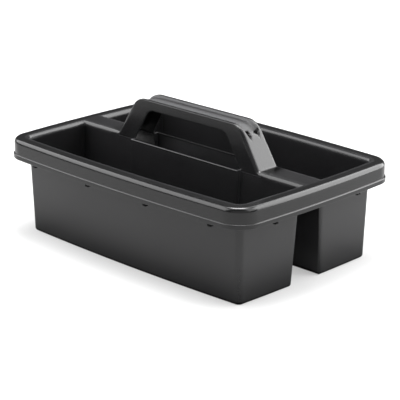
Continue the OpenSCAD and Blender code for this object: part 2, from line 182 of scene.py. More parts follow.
# Tubs. Insets and curvature factors are from the mouth, and the channel has half widths.
tub = {
    "neckInset": 3.0, "neckBend": (0.9, 1.04), "neckCorner": 8.0,
    "floorInset": 6.7, "floorBend": (0.62, 0.93), "floorCorner": 7.0,
    "channelFoot": 24.0, "channelNeck": 18.3, "channelMouth": sizes["spineHalf"] - sizes["wall"],
    "channelCorner": 3.0, "channelEdge": 0.8,
    "panHeight": 6.4, "bottomRadius": 3.4, "filletRadius": 2.2,
    "bayDepth": 5.5, "bayEdge": 1.2, "bayFlush": 0.05, "sillTop": 118.6, "sillRound": 0.9,
    "fallStart": 90.0, "fallRun": 14.0,      # where the mouth's extra fall begins, up and along
    "levels": (8, 14, 24, 38, 52, 66, 80, 90),
}

# Shade that the tubs and the handle share. Pairs are the limits of an eased share.
shading = {
    "low": 0.35, "lowFade": (60.0, 0.0), "foot": 0.65, "footFade": (4.6, 2.0),
    "besideLeg": 0.96, "legReach": 15.0, "legSlant": 0.2, "legFade": 10.0,
    "legRise": (-2.6, -0.2), "legAcross": (14.4, 12.8), "leftLeg": 0.3,
}

# Marks on a tub. Pairs are the limits of an eased share, lists are places and values.
tubMarks = {
    # Shares of painted light on the channel face and the front tub's jog, and of painted shade on the
    # sill and inside.
    "channelRise": (70.0, 100.0), "channelLight": 0.1, "bayEnd": 88.0, "bayFade": (88.0, 80.0),
    "bayLight": ([-80.0, -50.0, 0.0, 88.0], [1.2, 1.0, 0.4, 0.2]),
    "lowLight": 0.4, "lowFade": (110.0, 50.0), "lowClear": 0.8,
    "sillRear": 0.72, "sillFront": 0.8, "jog": 89.0, "jogHalf": 2.6, "jogLight": 0.9,
    "inside": 0.18, "insideEnd": 0.3, "endFade": (165.0, 177.0), "underSill": 16.0,
}
mouthFace = insetBy(skirt, mouthInset - sizes["wall"])


# Outline drawn in from the mouth: half sizes less the inset, side curvatures times a factor each.
def drawnFrom(inset, bend, corner):
    a, b, bendShort, bendLong = mouthFace[:4]
    return np.array([a - inset, b - inset, bendShort * bend[0], bendLong * bend[1], corner])


neckFace = drawnFrom(tub["neckInset"], tub["neckBend"], tub["neckCorner"])
floorFace = drawnFrom(tub["floorInset"], tub["floorBend"], tub["floorCorner"])


# Value up a wall: straight blend from floor to neck, then an eased blend to the mouth.
def upWall(z, floor, neck, mouth):
    lower = floor + (neck - floor) * min(1.0, z / sizes["skirtFoot"])
    return lower + (mouth - lower) * shareOf(z, sizes["skirtFoot"], mouthTop)


# Outer face of a tub wall: the blend up the wall of its three outlines.
def wallFace(z):
    return upWall(z, floorFace, neckFace, mouthFace)


# Channel face of a tub: the blend up the wall of its three half widths.
def channelFace(z):
    return upWall(z, tub["channelFoot"], tub["channelNeck"], tub["channelMouth"])


# Tub face of a finger bay: straight from the pan, where it is flush, to its full depth at the mouth.
def bayFace(z):
    pan = tub["panHeight"]
    if z < pan:
        return channelFace(z) + sizes["wall"] + tub["bayFlush"]
    low = channelFace(pan) + sizes["wall"] + tub["bayFlush"]
    high = sizes["spineHalf"] + tub["bayDepth"]
    return low + (high - low) * (z - pan) / (mouthTop - pan)


# Share of shade low down: a part eased in down the whole wall, the rest over the foot's rounding.
def footShade(points):
    z = points[:, 2]
    low = shading["low"] * shareOf(z, *shading["lowFade"])
    return low + shading["foot"] * shareOf(z, *shading["footFade"])


# Share of shade on the deck beside a leg: eased in over the foot of the leg and out along the deck,
# further toward the front, and less at the left leg.
def legShade(points):
    x, y = np.abs(points[:, 0]), np.abs(points[:, 1])
    reach = spineSeam + shading["legReach"] - shading["legSlant"] * points[:, 1]
    along = eased((reach - x) / shading["legFade"]) * shareOf(x - blendStart, *shading["legRise"])
    sides = np.where(points[:, 0] > 0, 1.0, shading["leftLeg"])
    return shading["besideLeg"] * along * shareOf(y, *shading["legAcross"]) * sides


# Columns of a half loop: along the finger bay, round each arc of its jog, under the web and
# along the deck. The later counts are where those parts begin.
bayRun, arcTurn, webRun, deckRun = 22, 4, 5, 11
bayColumns = bayRun + 1 + 2 * (arcTurn + 1)
webColumns = bayColumns + webRun + 1
deckColumns = webColumns + deckRun + 2


# Half plan loop of a tub at height z, inset d from its outer faces: finger bay, jog, spine wall,
# corner beside the channel, then the quarter outline. Inside, the faces run straight from the
# floor to the mouth and have no neck. The rounds of the jog shrink where the bay is shallow.
def tubHalf(z, d, inside=False):
    if inside:
        share = z / mouthTop
        outline = floorFace + (mouthFace - floorFace) * share
        channel = tub["channelFoot"] + (tub["channelMouth"] - tub["channelFoot"]) * share
    else:
        outline, channel = wallFace(z), channelFace(z)
    face = insetBy(outline, d)
    wallY = channel + d
    bayY = bayFace(z) - sizes["wall"] + d
    stepX = sizes["openingFoot"] - sizes["wall"] + min(d, sizes["wall"])
    r = min(tub["bayEdge"], 0.45 * (bayY - wallY))
    corner = max(tub["channelEdge"], tub["channelCorner"] - d)
    endX = shortX(face, wallY + corner)
    return np.concatenate([
        linePoints((0, bayY), (stepX - r - 0.6, bayY), bayRun),
        [[stepX - r - 0.6, bayY]],
        arcPoints(stepX - r, bayY - r, r, 90, 0, arcTurn),
        arcPoints(stepX + r, wallY + r, r, 180, 270, arcTurn),
        linePoints((stepX + r + 0.6, wallY), (spineSeam, wallY), webRun),
        [[spineSeam, wallY], [spineSeam, wallY]],
        linePoints((spineSeam + 2, wallY), (endX - corner - 0.5, wallY), deckRun),
        [[endX - corner - 0.5, wallY]],
        arcPoints(endX - corner, wallY + corner, corner, -90, 0, arcTurn)[:-1],
        quarterPath(face, wallY + corner),
    ])


# Columns of the top edge at reach o over the mouth curve: along the deck, a mitred corner, then
# the mouth outline drawn out by o.
def topPath(o):
    outline = insetBy(skirt, mouthInset - o)
    y = sizes["spineHalf"] - o
    corner = max(0.02, tub["channelEdge"] * (1 - o / sizes["mouthRadius"]))
    endX = outline[0]
    return np.concatenate([
        [[spineSeam, y]],
        linePoints((spineSeam + 2, y), (endX - corner - 0.5, y), deckRun),
        [[endX - corner - 0.5, y]],
        arcPoints(endX - corner, y + corner, corner, -90, 0, arcTurn)[:-1],
        quarterPath(outline, y + corner),
    ])


# Extra fall of the mouth curve beyond its radius, for each column of a half loop: none on the bay
# and at the handle seam, eased in along the deck, in full round the mouth.
def mouthFall(row):
    share = np.ones(len(row))
    share[:webColumns] = 0.0
    deck = slice(webColumns, deckColumns)
    share[deck] = eased((row[deck, 0] - spineSeam) / tub["fallRun"])
    return (sizes["mouthDrop"] - sizes["mouthRadius"]) * share


# Rows over the top of a tub: a rounded sill on the bay, flat under the handle web, and the
# mouth curve with a strip of land elsewhere.
def topRows(inner, outer):
    radius, top, wall, sill = sizes["mouthRadius"], sizes["rimTop"], sizes["wall"], tub["sillRound"]
    t, q = quarterTurn(11)[1:], quarterTurn(7)
    reach = [*(radius * (1 - np.cos(t))), radius + 0.4, seamReach, seamReach, wall]
    height = [*(mouthTop + radius * np.sin(t)), top, top, landUnder, landUnder]
    share = np.concatenate([sill * (1 - np.cos(q)), wall - sill * (1 - np.cos(q[::-1]))]) / wall
    rise = np.concatenate([np.sin(q), np.sin(q[::-1])]) * sill + tub["sillTop"] - sill
    rows = []
    for k in range(len(reach)):
        plan = inner[:, :2] * (1 - share[k]) + outer[:, :2] * share[k]
        flat = (k + 1) / (len(reach) + 1)
        plan[bayColumns:] = inner[bayColumns:, :2] * (1 - flat) + outer[bayColumns:, :2] * flat
        z = np.full(len(plan), rise[k])
        z[bayColumns:] = mouthTop
        plan[webColumns:] = topPath(reach[k])
        left = 1 - np.sin(t[k]) if k < len(t) else 0.0
        z[webColumns:] = height[k] - (mouthFall(inner) * left)[webColumns:]
        rows.append(np.column_stack([plan, z]))
    return rows


# Row of a tub at height z: the half loop there, with z as its third number.
def tubRow(z, d, inside=False):
    return np.insert(tubHalf(z, d, inside), 2, z, axis=1)


# Row of a tub's inner wall: the loop at z blended with the loop lower down by the share of the
# mouth's fall that each column has, with the fall growing from its start to the mouth.
def innerRow(z):
    fall = sizes["mouthDrop"] - sizes["mouthRadius"]
    grown = max(0.0, (z - tub["fallStart"]) / (mouthTop - tub["fallStart"]))
    row, low = tubRow(z, sizes["wall"], True), tubRow(z - fall * grown, sizes["wall"], True)
    share = mouthFall(row)[:, None] / fall
    return row * (1 - share) + low * share


# Marks of a tub. Painted light is on the channel face, rising to the top, most along the bay and its
# left end, and on the front tub's jog. Painted shade is the largest of: near the foot, less in the
# channel; on the sill of the bay; inside the tub, more at its ends, fading under the sill; beside the
# legs.
def marksOfTub(points, side, within):
    m, half = tubMarks, sizes["spineHalf"]
    x, y, z = np.abs(points[:, 0]), np.abs(points[:, 1]), points[:, 2]
    heights = np.linspace(0.0, tub["sillTop"], 60)
    channelSide = np.interp(z, heights, [channelFace(h) for h in heights])
    baySide = np.interp(z, heights, [bayFace(h) - sizes["wall"] for h in heights])
    inChannel = y < np.where(x < m["bayEnd"], baySide, channelSide) + 0.4
    # Painted light on the channel face, most along the bay and its left end.
    alongBay = np.interp(points[:, 0], *m["bayLight"]) * shareOf(x, *m["bayFade"])
    wornAndLit = inChannel * shareOf(z, *m["channelRise"]) * (m["channelLight"] + alongBay)
    wornAndLit = np.maximum(wornAndLit, m["lowLight"] * inChannel * shareOf(z, *m["lowFade"]))
    onJog = (np.abs(x - m["jog"]) < m["jogHalf"]) * (y > half) * (y < baySide + sizes["wall"] - 0.4)
    if side < 0:
        wornAndLit = np.maximum(wornAndLit, m["jogLight"] * onJog)
    low = footShade(points) * (1.0 - m["lowClear"] * inChannel * (z > shading["footFade"][0]))
    bay = half + tub["bayDepth"]
    onSill = (x < m["bayEnd"]) * (z > mouthTop - 0.4) * (y < bay + 0.4)
    sill = onSill * (m["sillRear"] if side > 0 else m["sillFront"] * (y < bay - 0.4 * sizes["wall"]))
    inside = within * (m["inside"] + m["insideEnd"] * shareOf(x, *m["endFade"]))
    inside *= np.where(x < spineSeam + 1.0, shareOf(z, mouthTop, mouthTop - m["underSill"]), 1.0)
    deck = legShade(points) * (z > sizes["rimTop"] - 0.3)
    # The foot mark is painted shade and the other mark painted light.
    return {"foot": np.max([low, sill, inside, deck], axis=0), "paintedLight": wornAndLit}


# One tub as a closed shell: floor fillet, inner walls, top rows, outer walls and bottom edge, each
# row the half loop and its mirror image, with a flat cap on the floor and on the underside.
def tubShell(name, side):
    wall, bottom, fillet = sizes["wall"], tub["bottomRadius"], tub["filletRadius"]
    turn = quarterTurn(8)
    neck = sizes["skirtFoot"]
    flare = neck + (mouthTop - neck) * np.linspace(0, 1, 15)[1:]
    rows = [tubRow(wall, wall + fillet + 1.0, True)]
    rows += [tubRow(wall + fillet * (1 - np.cos(t)), wall + fillet * (1 - np.sin(t)), True) for t in turn]
    rows += [innerRow(z) for z in (5.6, *tub["levels"], neck, *flare)]
    innerCount = len(rows)
    rows += topRows(rows[-1], tubRow(mouthTop, 0.0))
    rows += [tubRow(z, 0.0) for z in (*flare[::-1], neck, *tub["levels"][::-1], 5.2, 3.9)]
    rows += [tubRow(bottom * (1 - np.cos(t)), bottom * (1 - np.sin(t))) for t in turn[::-1]]
    rows += [tubRow(0.0, bottom + 1.0)]
    half = np.array(rows)
    mirror = half[:, -2:0:-1] * np.array([-1, 1, 1])
    grid = np.concatenate([half, mirror], axis=1)
    grid[..., 1] *= side
    count, columns = grid.shape[:2]
    faces = gridFaces(count, columns)
    faces += [list(range(columns))[::-1], list(range((count - 1) * columns, count * columns))]
    points = grid.reshape(-1, 3)
    within = np.repeat(np.arange(count) < innerCount, columns)
    return makePiece(name, points, faces, marksOfTub(points, side, within))


# Rim: the fall of the shoulder, and the bead round the skirt.
rim = {
    "shoulderDrop": 6.0, "beadTop": 103.1, "beadProud": 1.4, "beadFall": 1.25,
    "footRound": 0.6, "lipRound": 0.5,
}


# Section of the rim as inset and height: land, shoulder, skirt, bead, lower edge, then the inner
# skin up to the underside of the land. Each round is a quarter ellipse.
def rimSection():
    shoulder, drop, wall, proud = sizes["shoulder"], rim["shoulderDrop"], sizes["wall"], rim["beadProud"]
    top, foot, bead = sizes["rimTop"], sizes["skirtFoot"], rim["beadTop"]
    footRound, lipRound, bore = rim["footRound"], rim["lipRound"], shoulder - wall
    seam = mouthInset - seamReach
    large, small, inside = quarterTurn(13), quarterTurn(5), quarterTurn(7)
    return [
        (seam, top), (11.0, top), (8.0, top), (shoulder + 0.4, top),
        *((shoulder * (1 - np.sin(t)), top - drop * (1 - np.cos(t))) for t in large),
        (0, top - drop - 0.5), (0, 112), (0, 108), (0, 105), (0, bead + 0.5), (0, bead + 0.15),
        *((-proud * np.sin(t), bead - rim["beadFall"] * (1 - np.cos(t))) for t in inside[1:]),
        (-proud, bead - 1.6), (-proud, 100), (-proud, foot + 1.1),
        *((-proud + footRound * (1 - np.cos(t)), foot + footRound * (1 - np.sin(t))) for t in small),
        (0.3, foot), (wall - 0.9, foot),
        *((wall - lipRound * (1 - np.sin(t)), foot + lipRound * (1 - np.cos(t))) for t in small),
        (wall, foot + 1), (wall, 106), (wall, top - shoulder - 0.5),
        *((shoulder - bore * np.cos(t), top - shoulder + bore * np.sin(t)) for t in inside),
        (shoulder + 0.5, landUnder), (9.0, landUnder), (seam, landUnder),
    ]


# Rim band: every point of its section is an outline drawn in by d at height z, run all the way
# round from four quarter outlines.
def rimBand(name):
    start = sizes["spineHalf"] - seamReach + 0.02
    rows = []
    for d, z in rimSection():
        quarter = quarterPath(insetBy(skirt, d), start)
        half = np.concatenate([quarter, quarter[-2::-1] * [-1, 1]])
        loop = np.concatenate([half, half[::-1] * [1, -1]])
        rows.append(np.column_stack([loop, np.full(len(loop), z)]))
    grid = np.array(rows)
    return makePiece(name, grid.reshape(-1, 3), gridFaces(*grid.shape[:2], closedRows=True), {})


# Handle. Pairs are the limits of a share, as distance from the middle or as height. Depths are
# below the flanges, and what ends in Growth is added in full at the second limit.
handle = {
    "top": 170.8, "bendRadius": 24.0, "wall": 3.0, "faceLean": 0.029,
    "gripStrip": 11.8, "openingCorner": 15.0, "openingEdge": 0.9, "crownEdge": 0.8, "edgeRun": 24.0,
    "gripDepth": 1.6, "bendDepth": 3.2, "bendFrom": (62.0, 84.0), "panelAbove": (156.0, 162.0),
    "flangeWidth": 4.2, "tongueHalf": 8.8, "tongueBelow": (166.0, 152.0), "tongueFrom": (80.0, 84.0),
    "flangeRun": 2.4, "runGrowth": 2.2, "runFrom": (70.0, 85.0), "dome": 0.45, "domeIn": 4.0,
    "pocketDepth": 4.4, "pocketFrom": (91.2, 92.8), "pocketAbove": (153.0, 162.0),
    "pocketHalf": 1.1, "pocketGrowth": 2.2, "pocketGrows": (155.0, 163.0),
    "pocketShades": ((89.0, 2.8), (92.2, 0.0)),    # start and extra reach, front then rear
}

# Marks on the handle. Lists are places across it, front first, and values.
handleMarks = {
    "gripEnd": (90.5, 89.0), "gripAcross": (12.4, 10.9), "gripAbove": (155.0, 158.0),
    # Share of painted light across the crown.
    "wearAndLight": ([-13.0, -10.5, -7.0, -4.0, 0.0, 5.6, 9.6, 11.0, 12.5],
             [0.0, 0.5, 1.2, 1.2, 0.7, 0.0, 0.8, 0.5, 0.0]),
    "smooth": ([-13.0, -12.0, -5.0, 1.5, 5.6, 9.0], [0.25, 0.15, 0.0, 0.1, 0.4, 0.0]),
    # Painted shade along a band of the crown.
    "shadeBand": 0.45, "shadeBandAt": 5.6, "shadeBandHalf": 4.5,
    "web": 0.25, "webFrom": 14.6, "webAbove": (150.0, 158.0),
    "hollowAcross": (13.5, 12.5), "hollowFrom": (55.0, 75.0),
}
lean = np.radians(sizes["legLean"])
legTurn = np.radians(90 - sizes["legLean"])
bendCorner = sizes["legFoot"] - (handle["top"] - sizes["rimTop"]) * np.tan(lean)
crownHalf = bendCorner - handle["bendRadius"] * np.tan(legTurn / 2)
openingTop = handle["top"] - handle["gripStrip"]
openingShoulder = sizes["openingFoot"] - (openingTop - mouthTop) * np.tan(lean)
openingFlat = openingShoulder - handle["openingCorner"] * np.tan(legTurn / 2)


# Half width of the handle: spine half width less the lean for each millimetre above the rim.
def handleHalf(z):
    return sizes["spineHalf"] - handle["faceLean"] * np.maximum(0.0, z - sizes["rimTop"])


# Stations of the handle at +X: point and outward direction on the skin, and the matching point
# and direction on the edge of the finger opening. The skin runs from the deck round the foot blend,
# up the leg, round the bend and along the crown.
def handleStations():
    out = lambda t: np.array([np.sin(t), np.cos(t)])
    top, blend, rimTop = handle["top"], sizes["footBlend"], sizes["rimTop"]
    bend, corner = handle["bendRadius"], handle["openingCorner"]
    bendCentre = np.array([crownHalf, top - bend])
    footCentre = np.array([blendStart, rimTop + blend])
    openCentre = np.array([openingFlat, openingTop - corner])
    skin = [(np.array([spineSeam, rimTop]), out(0)), (np.array([blendStart + 0.4, rimTop]), out(0))]
    skin += [(footCentre - blend * out(t), out(t)) for t in np.linspace(0, legTurn, 11)]
    low, high = skin[-1][0], bendCentre + bend * out(legTurn)
    leg = (0.015, 0.08, 0.18, 0.3, 0.42, 0.54, 0.64, 0.72, 0.79, 0.86, 0.93)
    skin += [(low + (high - low) * s, out(legTurn)) for s in leg]
    side = len(skin)
    arc = np.linspace(legTurn, 0, 25)
    skin += [(bendCentre + bend * out(t), out(t)) for t in arc]
    crown = crownHalf * np.array([0.992, 0.94, 0.86, 0.76, 0.64, 0.5, 0.34, 0.17, 0.0])
    skin += [(np.array([x, top]), out(0)) for x in crown]
    start = np.array([sizes["openingFoot"], mouthTop])
    stop = openCentre + corner * out(legTurn)
    share = np.linspace(0, 1, side + 1)[:-1]
    opening = [(start + (stop - start) * s, out(legTurn)) for s in share]
    opening[0] = (start, np.array([1.0, 0.0]))
    opening += [(openCentre + corner * out(t), out(t)) for t in arc]
    opening += [(np.array([openingFlat * x / crownHalf, openingTop]), out(0)) for x in crown]
    return [(*a, *b) for a, b in zip(skin, opening)]


# Depth of the grip panel under its flanges: a crown depth easing to a bend depth, and faded out
# where the panel runs into the leg.
def panelDepth(p):
    crown, bend = handle["gripDepth"], handle["bendDepth"]
    depth = crown + (bend - crown) * shareOf(p[0], *handle["bendFrom"])
    return depth * shareOf(p[1], *handle["panelAbove"])


# Extra depth of the two pockets beside the flanges: eased in on the bend, out on the leg.
def pocketDepth(p):
    along = shareOf(p[0], *handle["pocketFrom"])
    return handle["pocketDepth"] * along * shareOf(p[1], *handle["pocketAbove"])


# Inner edge of a flange: its width in from the face, drawing in to the tongue below the bend.
def flangeLip(p):
    lip = handleHalf(p[1]) - handle["flangeWidth"]
    drawn = shareOf(p[1], *handle["tongueBelow"]) * shareOf(p[0], *handle["tongueFrom"])
    return lip + (handle["tongueHalf"] - lip) * drawn


# Half width of a pocket: straight growth from its lower end to its upper end.
def pocketReach(p):
    low, high = handle["pocketGrows"]
    return handle["pocketHalf"] + handle["pocketGrowth"] * np.clip((p[1] - low) / (high - low), 0, 1)


# Shade of a pocket: eased in past the flange wall, out at the tongue, times an ease along the bend;
# the front one runs on over the side of the tongue.
def pocketShade(p, inward, start, reachOver):
    across = eased(inward - 1.0) * eased((2 * pocketReach(p) + reachOver - inward) / 1.2)
    return across * eased((p[0] - start) / 1.4) * eased((p[1] - handle["pocketAbove"][0]) / 5.0)


# Depth at a distance in from the flange edge: an eased wall down to the panel, a pocket as a
# squared cosine round its middle, less a slight dome over the panel.
def gripDrop(p, inward, y):
    reach = pocketReach(p)
    share = np.cos(np.clip((inward - reach - 0.3) / reach, -1, 1) * np.pi / 2) ** 2
    run = handle["flangeRun"] + handle["runGrowth"] * shareOf(p[0], *handle["runFrom"])
    flat = max(0.1, flangeLip(p) - handle["domeIn"])
    dome = handle["dome"] * np.clip(1 - (y / flat) ** 2, 0, 1) * panelDepth(p) / handle["bendDepth"]
    return panelDepth(p) * eased(inward / run) + pocketDepth(p) * share - dome


# Edge radius: the mouth radius on deck and leg, easing to a small radius on the crown.
def edgeRadius(p):
    small = handle["crownEdge"]
    return small + (sizes["mouthRadius"] - small) * eased((p[0] - crownHalf) / handle["edgeRun"])


# Half of the handle's profile at a station, from the opening edge to the middle, outside and
# inside in step: rounded opening edge, web, rounded outer edge, flange, groove, then the panel.
# The station is the skin's point p and direction n and the opening's point q and direction m. The
# shade of the two pockets comes with it, as it stands on the front and on the rear half.
def handleProfile(p, n, q, m):
    half = lambda xz: handleHalf(xz[:, 1])
    edge, radius, skinWall = handle["openingEdge"], edgeRadius(p), handle["wall"]
    t = quarterTurn(6)[:, None]
    a = q + m * edge * (1 - np.cos(t))
    outer = [np.column_stack([a, -(half(a) - edge + edge * np.sin(t[:, 0]))])]
    inner = [np.column_stack([a, -(half(a) - skinWall + edge - edge * np.sin(t[:, 0]))])]
    s = np.array([0.06, 0.25, 0.5, 0.75, 0.94])[:, None]
    webStart = (q + m * edge) * (1 - s)
    webOut, webIn = webStart + (p - n * radius) * s, webStart + (p - n * (skinWall + 0.6)) * s
    outer.append(np.column_stack([webOut, -half(webOut)]))
    inner.append(np.column_stack([webIn, -(half(webIn) - skinWall)]))
    t = quarterTurn(9)[:, None]
    face = p - n * radius * (1 - np.sin(t))
    outer.append(np.column_stack([face, -(half(face) - radius * (1 - np.cos(t[:, 0])))]))
    face = p - n * (skinWall + 0.6 * (1 - np.sin(t)))
    inner.append(np.column_stack([face, -(half(face) - skinWall - 0.6 * (1 - np.cos(t[:, 0])))]))
    w, lip = handleHalf(p[1]), flangeLip(p)
    inward = np.array([0, 0.4, 0.9, 1.5, 2.1, 2.7, 3.3, 4.0, 4.7])
    panel = (lip - inward[-1]) * np.array([0.6, 0.25, 0.0])
    y = np.concatenate([[(w - radius + lip + 0.5) / 2, lip + 0.5], lip - inward, panel])
    drop = gripDrop(p, lip - y, y)
    outer.append(np.column_stack([p - n * drop[:, None], -y]))
    yIn = y * min(1.0, (w - skinWall - 0.9) / y[0])
    inner.append(np.column_stack([p - n * (skinWall + drop)[:, None], -yIn]))
    outer = np.concatenate(outer)
    plainPart = np.zeros(len(outer) - len(y))
    shades = [np.concatenate([plainPart, pocketShade(p, lip - y, *pocket)])
              for pocket in handle["pocketShades"]]
    return outer, np.concatenate(inner), shades


# Plate profile of the deck: the side points spread over its cut edge, where the inner skin draws in
# by 1.5 mm, and the rest level with the land.
def deckProfile(x, count, panel):
    w = sizes["spineHalf"] - seamReach
    edge = count - panel
    s = np.linspace(0, 1, edge + 1)[:-1]
    side = landUnder + (sizes["rimTop"] - landUnder) * s
    z = np.concatenate([side, np.full(panel, sizes["rimTop"])])
    y = np.concatenate([np.full(edge, w), np.linspace(w, 0, panel)])
    yIn = np.concatenate([w - 1.5 * s, np.linspace(w - 1.6, 0, panel)])
    outer = np.stack([np.full(count, x), z, -y], 1)
    inner = np.stack([np.full(count, x), np.full(count, landUnder), -yIn], 1)
    return outer, inner, [np.zeros(count)] * 2


# Marks of the handle. The grip is the top of the crown and bends, and is smoother along a band
# of painted shade. Painted light lies across the grip. Painted shade is the largest of the pockets,
# the foot of a leg, that band and the upper part of the webs. Light is painted on the inner skin of
# the hollow toward its ends.
def marksOfHandle(points, shade, outside):
    m = handleMarks
    x, across, z = np.abs(points[:, 0]), points[:, 1], points[:, 2]
    y = np.abs(across)
    grip = shareOf(x, *m["gripEnd"]) * shareOf(y, *m["gripAcross"]) * shareOf(z, *m["gripAbove"])
    foot = legShade(points) * (z < sizes["rimTop"] + 3.0) * outside
    # Painted shade along a band of the crown.
    nearShadeBand = np.clip(1 - np.abs(across - m["shadeBandAt"]) / m["shadeBandHalf"], 0, 1)
    shadeBand = m["shadeBand"] * grip * outside * nearShadeBand
    web = m["web"] * outside * (y > m["webFrom"]) * shareOf(z, *m["webAbove"])
    # Light painted on the inner skin of the hollow, toward its ends.
    hollowLight = (1.0 - outside) * shareOf(y, *m["hollowAcross"]) * shareOf(x, *m["hollowFrom"])
    return {
        "grip": grip * (1 - np.interp(across, *m["smooth"])),
        "paintedLight": grip * np.interp(across, *m["wearAndLight"]),
        # The foot mark is painted shade.
        "foot": np.max([shade, foot, shadeBand, web], axis=0),
        "hollowLight": hollowLight,
    }


# Carry handle with the decks on each side: profiles swept from deck to deck, capped at both ends.
# The deck's stations close up toward the handle, by the square of their share.
def carryHandle(name):
    profiles = [handleProfile(*station) for station in handleStations()]
    count, panel = len(profiles[0][0]), 14
    deckEnd = skirt[0] - mouthInset + seamReach
    decks = [deckProfile(spineSeam + (deckEnd - spineSeam) * s * s, count, panel)
             for s in np.linspace(1, 0, 13)]
    loops, shades = [], []
    for outer, inner, (front, rear) in decks + profiles:
        shades.append(np.concatenate([front, rear[-2::-1], np.zeros(2 * count - 1)]))
        fullOut = np.concatenate([outer, outer[-2::-1] * [1, 1, -1]])
        fullIn = np.concatenate([inner, inner[-2::-1] * [1, 1, -1]])
        loops.append(np.concatenate([fullOut, fullIn[::-1]])[:, [0, 2, 1]])
    half = np.array(loops)
    grid = np.concatenate([half, half[-2::-1] * [-1, 1, 1]])
    shade = np.concatenate([shades, shades[-2::-1]]).reshape(-1)
    rows, columns = grid.shape[:2]
    side = columns // 2
    k = np.arange(side - 1)
    cap = np.stack([k, columns - 1 - k, columns - 2 - k, k + 1], 1)
    faces = gridFaces(rows, columns)
    faces += cap.tolist() + (cap[:, ::-1] + (rows - 1) * columns).tolist()
    points = grid.reshape(-1, 3)
    outside = np.tile(np.repeat([1.0, 0.0], side), rows)
    return makePiece(name, points, faces, marksOfHandle(points, shade, outside))


# Stacking ribs: their section, how far they stand back from the skirt, and their places.
ribs = {
    "foot": 91.6, "nose": 1.6, "half": 2.1, "setback": 4.2, "freeTop": 103.0, "edge": 0.35,
    "longPlaces": (-148.5, -49.0, 49.0, 148.5), "shortPlaces": (-71.0, 71.0),
    "heights": (97.2, 100.5, 104, 107.5, 111, 114.2),
}


# Ribs of one side: an upright outline from the wall face out under the land, with a quarter round
# nose at its foot, as thick as stated, and its edges rounded by a bevel.
def ribSet(name, places, alongX, side):
    foot, nose, half = ribs["foot"], ribs["nose"], ribs["half"]
    sideAt = longY if alongX else shortX
    heights = np.array([foot, *ribs["heights"], mouthTop, landUnder])
    turn = quarterTurn(7)[1:]
    points, faces = [], []
    for place in places:
        reach = sideAt(skirt, place) - ribs["setback"]
        free = [(reach, landUnder), (reach, ribs["freeTop"]), (reach, foot + nose)]
        tip = [(reach - nose * (1 - np.cos(t)), foot + nose * (1 - np.sin(t))) for t in turn]
        base = len(points)
        for end in (place - half, place + half):
            wallAt = [sideAt(wallFace(min(z, mouthTop)), end) for z in heights]
            outline = list(zip(wallAt, heights)) + free + tip
            points += [(end, side * r, z) if alongX else (side * r, end, z) for r, z in outline]
        n = (len(points) - base) // 2
        ring = [[base + k, base + (k + 1) % n, base + n + (k + 1) % n, base + n + k] for k in range(n)]
        faces += ring + [list(range(base, base + n))[::-1], list(range(base + n, base + 2 * n))]
    piece = makePiece(name, points, faces, {})
    bevel = piece.modifiers.new("edges", "BEVEL")
    bevel.width = ribs["edge"] * 0.001
    bevel.segments = 2
    bevel.limit_method = "ANGLE"
    bevel.angle_limit = np.radians(35)
    return piece


pieces = {
    "front_tub_shell": {
        "build": lambda name: tubShell(name, -1), "slot": "tub_plastic",
        "nodes": ["front_tub_floor", "front_tub_outer_wall", "front_tub_left_end",
                  "front_tub_right_end", "front_tub_spine_wall"],
    },
    "rear_tub_shell": {
        "build": lambda name: tubShell(name, 1), "slot": "tub_plastic",
        "nodes": ["rear_tub_floor", "rear_tub_outer_wall", "rear_tub_left_end",
                  "rear_tub_right_end", "rear_tub_spine_wall"],
    },
    "rim_band": {
        "build": rimBand, "slot": "rim_plastic",
        "nodes": ["rim_front", "rim_rear", "rim_left", "rim_right"],
    },
    "carry_handle": {
        "build": carryHandle, "slot": "handle_plastic",
        "nodes": ["deck_left", "deck_right", "handle_left_leg", "handle_right_leg",
                  "handle_crown", "handle_front_web", "handle_rear_web"],
    },
    "ribs_front": {
        "build": lambda name: ribSet(name, ribs["longPlaces"], True, -1),
        "slot": "rib_plastic", "nodes": ["stacking_ribs_front"],
    },
    "ribs_rear": {
        "build": lambda name: ribSet(name, ribs["longPlaces"], True, 1),
        "slot": "rib_plastic", "nodes": ["stacking_ribs_rear"],
    },
    "ribs_left": {
        "build": lambda name: ribSet(name, ribs["shortPlaces"], False, -1),
        "slot": "rib_plastic", "nodes": ["stacking_ribs_left"],
    },
    "ribs_right": {
        "build": lambda name: ribSet(name, ribs["shortPlaces"], False, 1),
        "slot": "rib_plastic", "nodes": ["stacking_ribs_right"],
    },
}


# Shader node with its sockets or properties set by name.
def makeNode(tree, kind, values):
    node = tree.nodes.new(kind)
    for key, value in values.items():
        if key in node.inputs:
            node.inputs[key].default_value = value
        else:
            setattr(node, key, value)
    return node
